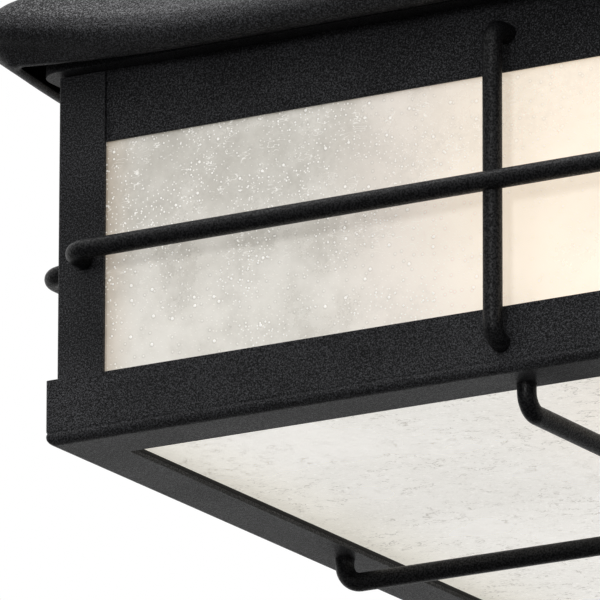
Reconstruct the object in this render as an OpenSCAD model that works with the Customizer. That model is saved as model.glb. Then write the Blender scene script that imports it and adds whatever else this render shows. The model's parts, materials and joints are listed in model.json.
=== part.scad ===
// Outdoor flush mount ceiling lantern, square, two lamps.
// Units are millimetres, +Z is up. The origin is the centre of the ceiling
// plane, the lantern hangs below it. -Y is the front, -X the left side.

/* [Overall] */
// outer width and depth of the bottom frame
frame_w = 268; // [200:1:340]
// drop from the ceiling to the underside of the bottom frame
drop = 127; // [116:1:180]
// underside of the neck below the ceiling
neck_depth = 28.8; // [27:0.2:32]
// sheet thickness of posts and bands
sheet = 1.0; // [0.8:0.1:1.6]

/* [Canopy] */
// widest half width of the canopy beyond the bottom frame
canopy_reach = 12.5; // [10:0.5:30]
// rise of the canopy lip at its four corners
corner_rise = 6.8; // [0:0.2:8]
// how far the canopy's corners flare out beyond its sides
corner_flare = 4.8; // [0:0.2:8]
// length of the rise along each side
rise_length = 70; // [20:1:100]
// canopy sheet thickness
canopy_sheet = 1.2; // [0.8:0.1:2]
// height of the recessed deck below the ceiling
deck_depth = 15.6; // [14:0.2:17]

/* [Cage] */
// gap between the posts and the wall of the bottom frame
post_gap = 0.8; // [0.3:0.1:3]
// leg width of a corner post
post_leg = 14; // [10:0.5:20]
// visible height of a top band
band_h = 18.7; // [15:0.1:30]
// thickness of the side glass and the bottom glass
glass_t = 3; // [2:0.5:5]
// gap between the cage and the ceiling unit
cage_gap = 0.3; // [0.3:0.1:1]

/* [Bars] */
// diameter of the round bars
bar_d = 5; // [3:0.5:8]
// height of the horizontal bars above the underside of the frame
bar_level = 48.1; // [30:0.1:70]
// stand-off of the horizontal bars from the frame's outer face
bar_h_off = 6.5; // [4:0.1:12]
// stand-off of the upright bars from the frame's outer face
bar_v_off = 4.5; // [3:0.1:12]

/* [Bottom frame] */
// height of the frame's wall
wall_h = 17; // [10:0.5:30]
// width of the frame's flange
flange_w = 15.8; // [13:0.1:30]
// frame sheet thickness
frame_t = 1.2; // [0.8:0.1:2]
// gasket thickness under the bottom glass
gasket_t = 1.2; // [0.8:0.1:3]

/* [Lamps] */
// lamp axis below the neck
lamp_drop = 38.2; // [36:0.2:50]
// sideways offset of each lamp from the middle
lamp_y = 31; // [31:1:50]
// distance of the lampholder plates from the middle
lamp_x = 50; // [40:1:90]
// lamp bulb diameter
bulb_d = 60; // [45:1:62]

/* [Hinge and catch] */
// hinge pin diameter
pin_d = 2.5; // [2:0.1:4]
// hinge axis below the neck
hinge_drop = 5.7; // [4.5:0.1:8]
// distance of the hinges and catches from the frame's corners
hinge_inset = 64; // [50:1:110]
// thumbscrew axis below the neck
screw_drop = 7.7; // [7:0.1:10]

/* [Mounting] */
// spacing of the wide pair of box screws
box_wide = 88.9; // [84:0.1:90]
// spacing of the narrow pair of box screws
box_narrow = 69.85; // [64:0.1:75]
// spacing of the mounting studs
stud_span = 106; // [104:1:120]

/* [Hidden] */
$fn = 48;
hw = frame_w/2;
zb = -drop;
zn = -neck_depth;
zc = zn - cage_gap;
band_low = zc - band_h;
zfl = zb + frame_t;
post_o = hw - frame_t - post_gap;
band_o = post_o - sheet;
band_i = band_o - sheet;
bar_r = bar_d/2;
neck_o = hw + 2.3;
neck_r = 7;
canopy_w = hw + canopy_reach;
rim_w = canopy_w - 19.1;
ledge_w = neck_o - 5.3;
nose_z = zn + 2.8;
deck_top = -deck_depth;
deck_bot = deck_top - canopy_sheet;
neck_top = deck_bot - canopy_sheet;
// the canopy wall runs out by wall_slope per millimetre of height above the nose
wall_slope = 1.113;
deck_edge = canopy_w - 24 - canopy_sheet + wall_slope*deck_depth;
// reach and height of the curl under the canopy's nose
curl_x = 4.1;
curl_z = 4.5;
plate_t = 1.2;
pad_t = 3;
pad_half = hw - 34;
refl_half = hw - 29;
refl_t = 0.6;
refl_bot = zn - pad_t - refl_t;
refl_screw = hw - 46;
bore_d = 20;
crossbar_t = 2;
crossbar_w = 24;
connector_z = -9.2;
lamp_z = zn - lamp_drop;
holder_d = 37;
holder_l = 34;
seat = 6;
shell_d = 27.4;
cap_d = 26.2;
contact_t = 2;
wire_d = 2.2;
wire_hole = wire_d + 1;
// height at which the leads come back through their bracket
lead_z = zn - 8.8;
hinge_y = hw - hinge_inset;
hinge_x = -(neck_o + plate_t);
axis_z = zn - hinge_drop;
knuckle_r = pin_d/2 + 1.25;
knuckle_l = 6.9;
leaf_half = 3*knuckle_l + 0.3;
stud_d = 4.1;
screw_z = zn - screw_drop;
screw_d = 4.8;
notch_w = screw_d + 1.2;
tab_x = band_i - 0.3;
tab_low = screw_z - 4.9;
glass_top = min(band_low + 5.3, tab_low - 1.1);
bg_half = band_i - glass_t - 3;
bg_z = zfl + gasket_t;
window = hw - flange_w;
pane_gap = 0.5;
clip_w = 6;
clip_inset = 64;
clip_t = 0.8;
bar_drop = 6.9;
bar_bend = 5;
frame_round = 2.1;
black = [0.16, 0.16, 0.17];
steel = [0.72, 0.72, 0.74];
brass = [0.80, 0.66, 0.36];
white = [0.92, 0.92, 0.90];
clear = [0.88, 0.87, 0.83, 0.55];

// helpers
module block(x0, x1, y0, y1, z0, z1)
  translate([x0, y0, z0]) cube([x1-x0, y1-y0, z1-z0]);

// square plate with rounded corners, from z0 to z1
module slab(h, r, z0, z1)
  translate([0, 0, z0]) linear_extrude(z1-z0) round_square(h, r);

module round_square(h, r) {
  square([2*h, 2*(h-r)], center=true);
  square([2*(h-r), 2*h], center=true);
  for (sx = [-1, 1], sy = [-1, 1]) translate([sx*(h-r), sy*(h-r)]) circle(r);
}

// quarter bend of a round bar: starts at the origin along +X,
// turns towards -Y on a centre line radius r
module bend(r, d=bar_d)
  translate([0, -r, 0]) rotate_extrude(angle=90) translate([r, 0]) circle(d/2);

module rod_x(x0, x1, y, z, d=bar_d)
  translate([x0, y, z]) rotate([0, 90, 0]) cylinder(d=d, h=x1-x0);

module rod_y(y0, y1, x, z, d=bar_d)
  translate([x, y0, z]) rotate([-90, 0, 0]) cylinder(d=d, h=y1-y0);

module rod_z(z0, z1, x, y, d=bar_d)
  translate([x, y, z0]) cylinder(d=d, h=z1-z0);

function unit(v) = v/norm(v);

// tube of diameter d swept along the points p, in rings of eight
module lead(p, d) {
  n = len(p);
  way = [for (i = [0:n-1])
    unit(unit(p[max(i, 1)]-p[max(i, 1)-1]) + unit(p[min(i, n-2)+1]-p[min(i, n-2)]))];
  pts = [for (i = [0:n-1]) let (u = unit(cross(way[i], [0, 1, 0])), v = cross(way[i], u))
    for (k = [0:7]) p[i] + d/2*(cos(45*k)*u + sin(45*k)*v)];
  walls = [for (i = [0:n-2], k = [0:7])
    let (a = 8*i+k, b = 8*i+(k+1)%8)
      each [[a, a+8, b], [b, a+8, b+8]]];
  ends = [[for (k = [0:7]) k], [for (k = [7:-1:0]) 8*(n-1)+k]];
  polyhedron(points=pts, faces=concat(walls, ends));
}

// turns a front piece to another side: 0 front, 90 right, 180 rear, 270 left
module side(a) rotate([0, 0, a]) children();

// ceiling unit
module mounting_crossbar() color(steel) difference() {
  union() {
    block(-stud_span/2-crossbar_w/3, stud_span/2+crossbar_w/3,
          -crossbar_w/2, crossbar_w/2, -crossbar_t, 0);
    stud_holes(9, -2*crossbar_t, -crossbar_t);
  }
  for (s = [-1, 1]) long_slot(s*(box_narrow/2-1.5), s*(box_wide/2+1.5), 4.6);
  stud_holes(stud_d, -5, 1);
  translate([0, 0, -3]) cylinder(d=10.5, h=4);
  translate([18, -5, -3]) cylinder(d=3.5, h=4);
}

// slot through the crossbar between two hole centres
module long_slot(xa, xb, w) {
  x0 = min(xa, xb);
  x1 = max(xa, xb);
  block(x0, x1, -w/2, w/2, -3, 1);
  translate([x0, 0, -3]) cylinder(d=w, h=4);
  translate([x1, 0, -3]) cylinder(d=w, h=4);
}

module mounting_studs() color(steel) stud_holes(stud_d, zn-6, 0);

module cap_nuts() color(steel) for (s = [-1, 1])
  translate([s*stud_span/2, 0, 0]) difference() {
    union() {
      translate([0, 0, zn-5]) cylinder(d=9.2, h=5, $fn=6);
      translate([0, 0, zn-5.01]) intersection() {
        sphere(d=8);
        translate([0, 0, -8]) cylinder(d=10, h=8.01);
      }
    }
    translate([0, 0, zn-6]) cylinder(d=stud_d, h=7);
  }

module ground_screw() color([0.2, 0.55, 0.25]) translate([18, -5, 0]) {
  translate([0, 0, -crossbar_t-2.4]) cylinder(d=8, h=2.4, $fn=6);
  translate([0, 0, -crossbar_t-0.2]) cylinder(d=3.5, h=crossbar_t+0.2);
}

// canopy profile points: [half width, z, share of the corner rise, corner radius]
function outer_profile() = concat(
  [[rim_w, 0, 0, 13], [rim_w, -5, 0, 13], [canopy_w-13.5, -10.04, 0.6, 13],
   [canopy_w-7.9, -15.07, 0.9, 12.5]],
  [for (a = [48:-16:16]) [canopy_w-7+7*cos(a), nose_z+7*sin(a), 1, 12]],
  [for (a = [0:22.5:90]) [canopy_w-curl_x+curl_x*cos(a), nose_z-curl_z*sin(a), 1, 12-0.07*a]],
  [[canopy_w-5.2, nose_z-4.15, 1, 4.9], [canopy_w-5.8, nose_z-3.3, 1, 4.4]]);
function inner_profile() = let (t = canopy_sheet) concat(
  [[canopy_w-5.3, nose_z-3.8+t, 1, 4.9], [canopy_w-4.3, nose_z-4.4+t, 1, 5.8]],
  [for (a = [67.5, 22.5])
    [canopy_w-curl_x+(curl_x-t)*cos(a), nose_z-(curl_z-t)*sin(a), 1, 10.8-0.06*a]],
  [[canopy_w-t-0.1, nose_z+1.2, 0.9, 10.8], [canopy_w-t-1.9, nose_z+4.3, 0.7, 10.8],
   [deck_edge+1.4, neck_top, 0, 10.8], [ledge_w, neck_top, 0, 6],
   [ledge_w, deck_bot, 0, 6], [deck_edge, deck_bot, 0, 11],
   [rim_w-canopy_sheet, -6.1, 0, 11.8], [rim_w-canopy_sheet, 0, 0, 11.8]]);
// share of the corner's rise and flare at a distance from the corner's rounding
function near_corner(s) = s >= rise_length ? 0 : pow(1-max(s, 0)/rise_length, 2.4);
side_steps = [1, 0.96, 0.89, 0.80, 0.66];
corner_steps = [18, 36, 54, 72];
function turn(v, a) = [v[0]*cos(a)-v[1]*sin(a), v[0]*sin(a)+v[1]*cos(a), v[2]];

// one closed ring of points round the canopy for the profile point p
function ring(p) = let (l = p[0]-p[3], up = p[2]*corner_rise, out = p[2]*corner_flare)
  [for (q = [0:3]) each concat(
    [for (k = side_steps) let (c = near_corner(l-k*l))
      turn([-k*(l+c*out), -p[0]-c*out, p[1]+c*up], q*90)],
    [for (i = [len(side_steps)-1:-1:0]) let (k = side_steps[i], c = near_corner(l-k*l))
      turn([k*(l+c*out), -p[0]-c*out, p[1]+c*up], q*90)],
    [for (a = corner_steps)
      turn([l+out+p[3]*sin(a), -l-out-p[3]*cos(a), p[1]+up], q*90)])];

// pressed canopy: the profile swept round the rounded square, lip rising at the corners
module canopy() {
  rings = [for (p = concat(outer_profile(), inner_profile())) ring(p)];
  n = len(rings);
  m = len(rings[0]);
  faces = [for (i = [0:n-1], j = [0:m-1])
    let (a = i*m+j, b = i*m+(j+1)%m, c = ((i+1)%n)*m+(j+1)%m, d = ((i+1)%n)*m+j)
      each [[a, b, c], [a, c, d]]];
  color(black) polyhedron(points=[for (r = rings) each r], faces=faces);
}

module canopy_deck() color(black) difference() {
  slab(deck_edge-1.83, 11, deck_bot, deck_top);
  stud_holes(5.2, deck_bot-1, deck_top+1);
  translate([0, 0, deck_bot-1]) cylinder(d=34, h=4);
}

module stud_holes(d, z0, z1)
  for (s = [-1, 1]) translate([s*stud_span/2, 0, z0]) cylinder(d=d, h=z1-z0);

module neck_pan() color(black) difference() {
  slab(neck_o, neck_r, zn, neck_top);
  slab(neck_o-plate_t, neck_r-plate_t, zn+plate_t, neck_top+1);
  stud_holes(5.2, zn-1, zn+3);
  translate([0, 0, zn-1]) cylinder(d=26, h=4);
  screw_holes(2.9, zn-1, zn+2);
}

module screw_holes(d, z0, z1)
  for (sx = [-1, 1], sy = [-1, 1])
    translate([sx*refl_screw, sy*refl_screw, z0]) cylinder(d=d, h=z1-z0);

module insulation_pad() color([0.93, 0.88, 0.70]) difference() {
  slab(pad_half, 6, zn-pad_t, zn);
  stud_holes(18, zn-4, zn+1);
  translate([0, 0, zn-4]) cylinder(d=36, h=5);
  screw_holes(3.2, zn-4, zn+1);
}

module reflector_plate() color(white) difference() {
  slab(refl_half, 6, refl_bot, zn-pad_t);
  stud_holes(18, zn-5, zn);
  translate([0, 0, zn-5]) cylinder(d=28, h=5);
  screw_holes(3.2, zn-5, zn);
}

module reflector_screws() color(steel) {
  screw_holes(6.4, refl_bot-1.8, refl_bot);
  screw_holes(2.9, refl_bot-0.1, zn+plate_t);
  for (s = [-1, 1], k = [-8, 8]) translate([s*(lamp_x+12), -s*lamp_y+k, 0]) {
    translate([0, 0, refl_bot-plate_t-1.8]) cylinder(d=6, h=1.8);
    translate([0, 0, refl_bot-plate_t-0.1]) cylinder(d=2.8, h=plate_t+0.1);
  }
}

module wire_bushing() color([0.1, 0.1, 0.1]) difference() {
  union() {
    translate([0, 0, zn]) cylinder(d=26, h=plate_t);
    translate([0, 0, zn+plate_t]) cylinder(d=31, h=2);
    translate([0, 0, zn-2.4]) cylinder(d=31, h=2.4);
  }
  translate([0, 0, zn-4]) cylinder(d=bore_d, h=9);
}

// leads of the front lampholder, up behind its bracket, back through it and
// in through the bushing
module holder_leads() for (k = [-1, 1]) let (x = lamp_x, y0 = -lamp_y+5*k, y1 = 0.2*bore_d*k)
  lead([[x, y0, lamp_z], [x+3.4, y0, lamp_z+0.6], [x+4.6, y0, lamp_z+3],
        [x+4.6, y0, lead_z-4], [x+3.8, y0, lead_z-1.4], [x+2, y0, lead_z],
        [x-1.6, y0, lead_z], [12, y1, zn-7.8], [7, y1, zn-6.2], [5, y1, zn-2.2], [5, y1, zn+7],
        [1.6, 1.5*y1, connector_z]], wire_d);

module lamp_leads() color([0.12, 0.12, 0.12]) {
  holder_leads();
  rotate([0, 0, 180]) holder_leads();
}

// each connector joins one lead of the front lampholder and one of the rear
module wire_connectors() color([0.85, 0.55, 0.15]) for (s = [-1, 1])
  translate([0, s*0.3*bore_d, connector_z]) {
    cylinder(d=11, h=1.4);
    translate([0, 0, 1.4]) cylinder(d=9, h=4);
  }

module lamp_bracket() color(steel) difference() {
  union() {
    block(lamp_x, lamp_x+plate_t, -lamp_y-15, -lamp_y+15, lamp_z-15, refl_bot);
    block(lamp_x, lamp_x+20, -lamp_y-15, -lamp_y+15, refl_bot-plate_t, refl_bot);
  }
  for (k = [-8, 8]) translate([lamp_x+12, -lamp_y+k, refl_bot-2]) cylinder(d=2.8, h=3);
  for (k = [-5, 5], z = [lamp_z, lead_z])
    rod_x(lamp_x-1, lamp_x+3, -lamp_y+k, z, wire_hole);
}
module lamp_bracket_front() lamp_bracket();
module lamp_bracket_rear() rotate([0, 0, 180]) lamp_bracket();

// along the front lamp's axis: u = 0 at the bracket, growing towards the tip
module along_lamp() translate([lamp_x, -lamp_y, lamp_z]) rotate([0, -90, 0]) children();

module lampholder() color(white) along_lamp() difference() {
  union() {
    cylinder(d=holder_d, h=holder_l-4);
    translate([0, 0, holder_l-4]) cylinder(d=holder_d+3, h=4);
  }
  translate([0, 0, seat]) cylinder(d=shell_d, h=holder_l);
  translate([0, 0, -1]) cylinder(d=6, h=seat+2);
}
module lampholder_front() lampholder();
module lampholder_rear() rotate([0, 0, 180]) lampholder();

module screw_shell() color(brass) along_lamp() difference() {
  translate([0, 0, seat]) cylinder(d=shell_d, h=25);
  translate([0, 0, seat+1]) cylinder(d=cap_d+0.1, h=25);
  translate([0, 0, seat-1]) cylinder(d=12, h=4);
}
module screw_shell_front() screw_shell();
module screw_shell_rear() rotate([0, 0, 180]) screw_shell();

module contact() color(brass) along_lamp() {
  cylinder(d=6, h=seat);
  translate([0, 0, seat]) cylinder(d=8, h=contact_t);
}
module contact_front() contact();
module contact_rear() rotate([0, 0, 180]) contact();

module bulb_cap() color(steel) along_lamp() translate([0, 0, seat+contact_t]) {
  cylinder(d=8, h=1.2);
  translate([0, 0, 1.2]) cylinder(d1=14, d2=cap_d, h=3);
  translate([0, 0, 4.2]) cylinder(d=cap_d, h=holder_l-seat-contact_t-4.2);
}
module bulb_cap_front() bulb_cap();
module bulb_cap_rear() rotate([0, 0, 180]) bulb_cap();

// outline of the bulb's envelope, t inside its outer face, standing on the cap
function bulb_curve(t) = let (r = bulb_d/2, q = cap_d/2-0.1, u = holder_l+5) concat(
  [[q-t, holder_l], [q-t, u]],
  [for (k = [0.15:0.17:1]) [q-t+(r*cos(35)-q)*(1-cos(180*k))/2, u+22*k]],
  [for (a = [-34:12:80]) [(r-t)*cos(a), u+22+r*sin(35)+(r-t)*sin(a)]],
  [[0, u+22+r*sin(35)+r-t]]);
module bulb_glass() color([1, 0.93, 0.8]) along_lamp() let (inner = bulb_curve(0.9))
  rotate_extrude() polygon(concat(bulb_curve(0), [for (i = [len(inner)-1:-1:0]) inner[i]]));
module bulb_glass_front() bulb_glass();
module bulb_glass_rear() rotate([0, 0, 180]) bulb_glass();

// hinge and catch
module hinge_fixed_leaves() color(black) for (s = [-1, 1])
  translate([hinge_x, s*hinge_y, axis_z]) difference() {
    union() {
      block(0, plate_t, -leaf_half, leaf_half, hinge_drop, hinge_drop+10);
      for (k = [-1, 1]) translate([0, k*(2*knuckle_l+0.3), 0]) {
        block(0, plate_t, -knuckle_l, knuckle_l, 0, hinge_drop+1);
        rod_y(-knuckle_l, knuckle_l, 0, 0, 2*knuckle_r);
      }
    }
    rod_y(-22, 22, 0, 0, pin_d);
  }

module hinge_pins() color(steel) for (s = [-1, 1])
  rod_y(s*hinge_y-22, s*hinge_y+22, hinge_x, axis_z, pin_d);

module hinge_cage_leaves() color(black) for (s = [-1, 1])
  translate([0, s*hinge_y, axis_z]) difference() {
    union() {
      rod_y(-knuckle_l, knuckle_l, hinge_x, 0, 2*knuckle_r);
      block(hinge_x, -band_o, -knuckle_l, knuckle_l, -0.6, 0.6);
      block(-band_o-plate_t, -band_o, -18, 18, band_low+1.3-axis_z, 1.2);
    }
    rod_y(-22, 22, hinge_x, 0, pin_d+0.1);
  }

module catch_tabs() color(steel) for (s = [-1, 1]) translate([0, s*hinge_y, 0]) difference() {
  union() {
    block(tab_x-plate_t, tab_x, -8, 8, tab_low, zn);
    block(tab_x-12, tab_x, -8, 8, zn-plate_t, zn);
  }
  rod_x(tab_x-3, tab_x+1, 0, screw_z, screw_d+0.6);
}

module catch_nuts() color(steel) for (s = [-1, 1])
  translate([tab_x-plate_t-4, s*hinge_y, screw_z]) difference() {
    rotate([0, 90, 0]) cylinder(d=9.2, h=4, $fn=6);
    rod_x(-1, 5, 0, 0, screw_d+0.1);
  }

module thumbscrew() color(steel) translate([band_o, -hinge_y, screw_z]) {
  rod_x(tab_x-8-band_o, 0.4, 0, 0, screw_d);
  rod_x(0.3, 1.8, 0, 0, 8.5);
  rod_x(1.8, 8, 0, 0, 12);
}
module thumbscrew_front() thumbscrew();
module thumbscrew_rear() translate([0, 2*hinge_y, 0]) thumbscrew();

// cage
// corner post, for the front left corner
module post() color(black) difference() {
  block(-post_o, -post_o+post_leg, -post_o, -post_o+post_leg, zfl, zc);
  block(-band_o, 0, -band_o, 0, zb-1, 1);
}
module post_front_left() post();
module post_front_right() side(90) post();
module post_rear_right() side(180) post();
module post_rear_left() side(270) post();

module top_band_front() color(black)
  block(-band_o, band_o, -band_o, -band_i, band_low, zc);
module top_band_rear() side(180) top_band_front();
module top_band_left() color(black)
  block(-band_o, -band_i, -band_i, band_i, band_low, zc);
module top_band_right() color(black) difference() {
  block(band_i, band_o, -band_i, band_i, band_low, zc);
  for (s = [-1, 1]) {
    rod_x(band_i-1, band_o+1, s*hinge_y, screw_z, notch_w);
    block(band_i-1, band_o+1, s*hinge_y-notch_w/2, s*hinge_y+notch_w/2, screw_z, 1);
  }
}

module sill_ring() color(black) difference() {
  block(-band_o, band_o, -band_o, band_o, zfl, zb+wall_h-1.5);
  block(-band_i, band_i, -band_i, band_i, zb-1, 1);
}

// front pane of half length l, short of the corner by the pane gap
module pane(l) color(clear)
  block(-l+pane_gap, l-pane_gap, -band_i, -band_i+glass_t, zfl, glass_top);
module side_glass_front() pane(band_i);
module side_glass_rear() side(180) pane(band_i);
module side_glass_left() side(270) pane(band_i-glass_t);
module side_glass_right() side(90) pane(band_i-glass_t);

// glass clip on the inside of the front band
module clip(x) translate([x, -band_i, glass_top]) {
  block(-clip_w, clip_w, 0, clip_t, 0.3, zc-2-glass_top);
  block(-clip_w, clip_w, 0, glass_t+clip_t, 0, clip_t);
  block(-clip_w, clip_w, glass_t, glass_t+clip_t, -7, clip_t);
}
module side_glass_clips() color(steel) for (a = [0, 90, 180, 270], s = [-1, 1]) side(a)
  clip(s*pad_half);

// horizontal bar of the front, both ends turned back onto the posts
module bar_h() {
  e = post_o - post_leg/2 - 1.3;
  y = -hw - bar_h_off;
  z = zb + bar_level;
  r = 3 + bar_r;
  color(black) {
    rod_x(-e+r, e-r, y, z);
    for (s = [-1, 1]) {
      mirror([s > 0 ? 0 : 1, 0, 0]) translate([e-r, y, z]) mirror([0, 1, 0]) bend(r);
      rod_y(y+r, -post_o, s*e, z);
    }
  }
}
module bar_horizontal_front() bar_h();
module bar_horizontal_right() side(90) bar_h();
module bar_horizontal_rear() side(180) bar_h();
module bar_horizontal_left() side(270) bar_h();

// upright bar of the front, coped over the horizontal bar
module bar_v() {
  y = -hw - bar_v_off;
  z0 = zb + 7.5;
  z1 = zc - band_h/2 + 0.45;
  r = bar_v_off;
  color(black) difference() {
    union() {
      rod_z(z0+r, z1-r, 0, y);
      translate([0, y, z1-r]) rotate([0, -90, 0]) mirror([0, 1, 0]) bend(r);
      translate([0, y, z0+r]) mirror([0, 0, 1]) rotate([0, -90, 0]) mirror([0, 1, 0]) bend(r);
      rod_y(y+r, -band_o, 0, z1);
    }
    rod_x(-8, 8, -hw-bar_h_off, zb+bar_level);
  }
}
module bar_vertical_front() bar_v();
module bar_vertical_right() side(90) bar_v();
module bar_vertical_rear() side(180) bar_v();
module bar_vertical_left() side(270) bar_v();

// tray with rounded lower edges, built from two crossed extrusions
module tray(h, z0, z1, r) intersection() {
  rotate([90, 0, 0]) linear_extrude(2*h, center=true) tray_end(h, z0, z1, r);
  rotate([90, 0, 90]) linear_extrude(2*h, center=true) tray_end(h, z0, z1, r);
}
module tray_end(h, z0, z1, r) {
  translate([-h, z0+r]) square([2*h, z1-z0-r]);
  translate([-h+r, z0]) square([2*(h-r), r+0.01]);
  for (s = [-1, 1]) translate([s*(h-r), z0+r]) circle(r);
}

module bottom_frame() color(black) difference() {
  tray(hw, zb, zb+wall_h, frame_round);
  tray(hw-frame_t, zfl, zb+wall_h+1, min(frame_round-frame_t, post_gap));
  block(-window, window, -window, window, zb-1, zb+3);
}

module bottom_gasket() color([0.08, 0.08, 0.08]) difference() {
  block(-bg_half, bg_half, -bg_half, bg_half, zfl, bg_z);
  block(-window, window, -window, window, zb-1, bg_z+1);
}

module bottom_glass() color(clear)
  block(-bg_half, bg_half, -bg_half, bg_half, bg_z, bg_z+glass_t);

module bottom_clip(x) translate([x, -bg_half, 0]) {
  block(-clip_w, clip_w, -1.2, -0.2, zfl, bg_z+glass_t+1);
  block(-clip_w, clip_w, -1.2, 6, bg_z+glass_t, bg_z+glass_t+1);
}
module bottom_glass_clips() color(steel) for (a = [0, 90, 180, 270], s = [-1, 1]) side(a)
  bottom_clip(s*(hw-clip_inset));

// bar below the glass, ends turned up onto the flange
module bottom_bar(e) {
  z = zb - bar_drop;
  r = bar_bend;
  rod_x(-e+r, e-r, 0, z);
  for (s = [0, 1]) mirror([s, 0, 0]) {
    translate([e-r, 0, z]) rotate([-90, 0, 0]) bend(r);
    if (z+r < zb) rod_z(z+r, zb, e, 0);
  }
}
// in two halves, coped onto the fore-and-aft bar
module bottom_bar_across() color(black) difference() {
  bottom_bar(window+6.2);
  rod_y(-bar_d, bar_d, 0, zb-bar_drop, bar_d+0.04);
}
module bottom_bar_fore_aft() color(black) rotate([0, 0, 90])
  bottom_bar(window+3.3);

// output
mounting_crossbar();
mounting_studs();
cap_nuts();
ground_screw();
canopy();
canopy_deck();
neck_pan();
insulation_pad();
reflector_plate();
reflector_screws();
wire_bushing();
lamp_leads();
wire_connectors();
lamp_bracket_front();
lamp_bracket_rear();
lampholder_front();
lampholder_rear();
screw_shell_front();
screw_shell_rear();
contact_front();
contact_rear();
hinge_fixed_leaves();
hinge_pins();
catch_tabs();
catch_nuts();
bulb_glass_front();
bulb_cap_front();
bulb_glass_rear();
bulb_cap_rear();
thumbscrew_front();
thumbscrew_rear();
post_front_left();
post_front_right();
post_rear_left();
post_rear_right();
top_band_front();
top_band_rear();
top_band_left();
top_band_right();
sill_ring();
side_glass_front();
side_glass_rear();
side_glass_left();
side_glass_right();
side_glass_clips();
bar_horizontal_front();
bar_horizontal_rear();
bar_horizontal_left();
bar_horizontal_right();
bar_vertical_front();
bar_vertical_rear();
bar_vertical_left();
bar_vertical_right();
bottom_frame();
bottom_gasket();
bottom_glass();
bottom_glass_clips();
bottom_bar_across();
bottom_bar_fore_aft();
hinge_cage_leaves();
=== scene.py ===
"""Outdoor flush mount ceiling lantern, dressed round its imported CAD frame."""
import json
import math

import bmesh
import bpy
from bpy.props import FloatProperty, FloatVectorProperty, IntProperty, PointerProperty
from mathutils import Matrix, Vector

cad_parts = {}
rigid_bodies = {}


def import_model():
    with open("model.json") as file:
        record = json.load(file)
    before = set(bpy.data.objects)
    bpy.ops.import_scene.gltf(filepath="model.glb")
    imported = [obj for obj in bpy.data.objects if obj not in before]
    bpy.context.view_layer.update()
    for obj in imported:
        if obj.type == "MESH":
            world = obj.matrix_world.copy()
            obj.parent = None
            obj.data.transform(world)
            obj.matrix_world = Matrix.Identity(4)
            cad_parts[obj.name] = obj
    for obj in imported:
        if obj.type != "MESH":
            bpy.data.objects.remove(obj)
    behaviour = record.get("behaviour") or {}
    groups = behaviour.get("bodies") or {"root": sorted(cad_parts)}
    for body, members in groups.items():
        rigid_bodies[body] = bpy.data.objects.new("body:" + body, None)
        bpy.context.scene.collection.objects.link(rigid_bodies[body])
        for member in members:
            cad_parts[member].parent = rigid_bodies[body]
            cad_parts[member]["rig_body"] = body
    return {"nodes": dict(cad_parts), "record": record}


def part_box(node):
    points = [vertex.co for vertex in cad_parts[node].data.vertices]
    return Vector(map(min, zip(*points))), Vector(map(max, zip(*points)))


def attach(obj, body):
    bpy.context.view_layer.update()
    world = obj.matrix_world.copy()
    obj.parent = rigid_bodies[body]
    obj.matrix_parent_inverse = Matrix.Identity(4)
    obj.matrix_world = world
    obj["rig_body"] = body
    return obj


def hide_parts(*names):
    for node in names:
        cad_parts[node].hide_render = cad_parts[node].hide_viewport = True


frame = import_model()

bl_info = {
    "name": "Flush Mount Lantern",
    "version": (1, 0, 0),
    "blender": (4, 5, 0),
    "location": "View3D > Sidebar > Lantern",
    "description": "Models and finishes a square outdoor ceiling lantern",
    "category": "Object",
}

MM = 0.001
SIDES = {"front": 0, "right": 90, "rear": 180, "left": 270}
BACKDROP = (-0.512, 0.859, 0.0)

# where the painted glow of the lamps lies on the front pane and on the bottom pane
SIDE_GLOW = (0.058, -0.1335, -0.078)
BOTTOM_GLOW = (0.06, -0.05, -0.124)


# sizes read from the frame

def low(node):
    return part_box(node)[0]


def high(node):
    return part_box(node)[1]


HALF = high("bottom_frame").x
BOTTOM = low("bottom_frame").z
FRAME_TOP = high("bottom_frame").z
POST_FACE = high("post_front_right").x
BAND_FACE = high("top_band_front").x
GLASS_HALF = high("bottom_glass").x


# settings

class CoatSettings(bpy.types.PropertyGroup):
    colour: FloatVectorProperty(
        name="Coat colour", description="Colour of the black powder coat",
        subtype="COLOR", size=3, min=0, max=1, default=(0.0165, 0.0168, 0.0185))
    grain: FloatProperty(
        name="Grain", description="Width of the powder coat's grain",
        subtype="DISTANCE", unit="LENGTH", min=0.0002, max=0.003, default=0.00048)
    roughness: FloatProperty(
        name="Roughness", description="Roughness of the powder coat",
        subtype="FACTOR", min=0, max=1, default=0.5)


class BarSettings(bpy.types.PropertyGroup):
    steps: IntProperty(
        name="Bend steps", description="Segments in each bend of a bar",
        min=4, max=32, default=12)
    flare: FloatProperty(
        name="Weld flare", description="How far the weld widens a bar where it ends",
        subtype="DISTANCE", unit="LENGTH", min=0, max=0.002, default=0.00012)


class GlassSettings(bpy.types.PropertyGroup):
    tint: FloatVectorProperty(
        name="Glass tint", description="Colour of the seeded glass",
        subtype="COLOR", size=3, min=0, max=1, default=(0.52, 0.51, 0.48))
    seed: FloatProperty(
        name="Seed spacing", description="Distance between the small seeds in the glass",
        subtype="DISTANCE", unit="LENGTH", min=0.001, max=0.01, default=0.0015)
    ripple: FloatProperty(
        name="Ripple", description="Height of the waves in the glass",
        subtype="DISTANCE", unit="LENGTH", min=0, max=0.001, default=0.00018)


class LampSettings(bpy.types.PropertyGroup):
    warmth: FloatVectorProperty(
        name="Lamp colour", description="Colour of the lit bulbs",
        subtype="COLOR", size=3, min=0, max=1, default=(1.0, 0.84, 0.66))
    strength: FloatProperty(
        name="Lamp strength", description="Brightness of the bulbs' envelopes",
        min=0, max=50, default=3.0)


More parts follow.
